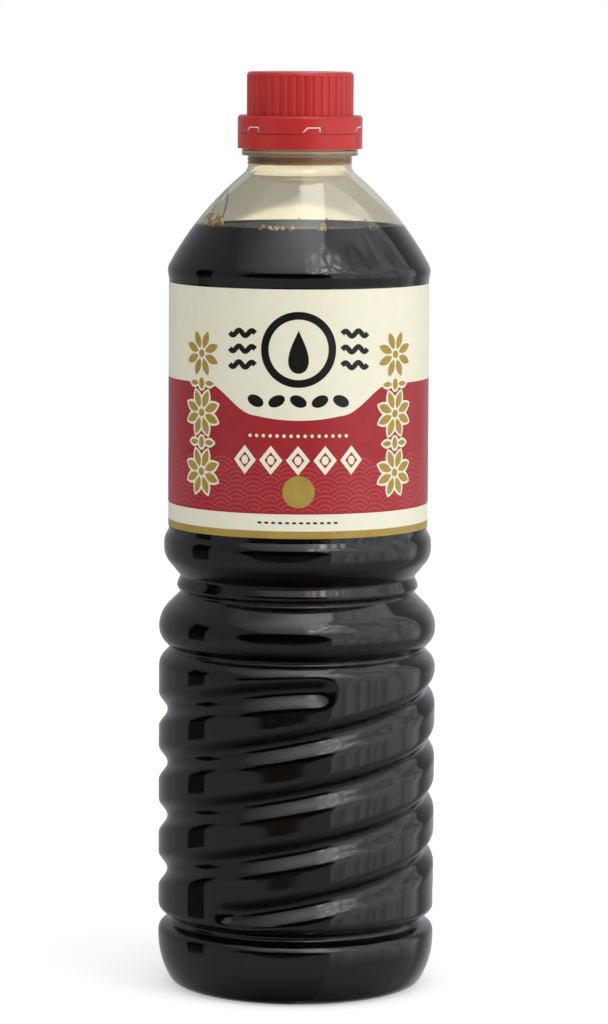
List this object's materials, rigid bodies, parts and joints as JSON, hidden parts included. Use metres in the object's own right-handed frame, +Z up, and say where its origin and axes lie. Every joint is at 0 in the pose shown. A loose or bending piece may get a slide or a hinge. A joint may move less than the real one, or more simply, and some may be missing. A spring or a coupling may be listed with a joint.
{
  "type": "soy sauce bottle",
  "caption": "Tall round plastic bottle of dark sauce with spiral finger grooves, a wrap label and a ribbed screw cap with a tamper band.",
  "frame": {"origin": "middle of the circle that the bottle stands on", "axes": "+Z up along the bottle's axis, -Y to the front of the label, +X to the right"},
  "size_m": [0.0812, 0.0812, 0.268],
  "materials": {
    "clear_pet": "clear gloss",
    "dark_sauce": "nearly black liquid",
    "label_film": "satin print in cream, red and gold",
    "red_cap": "satin red"
  },
  "bodies": {
    "root": {"bottle": "clear_pet", "sauce": "dark_sauce", "label": "label_film", "cap": "red_cap", "tamper_band": "red_cap"}
  },
  "joints": []
}
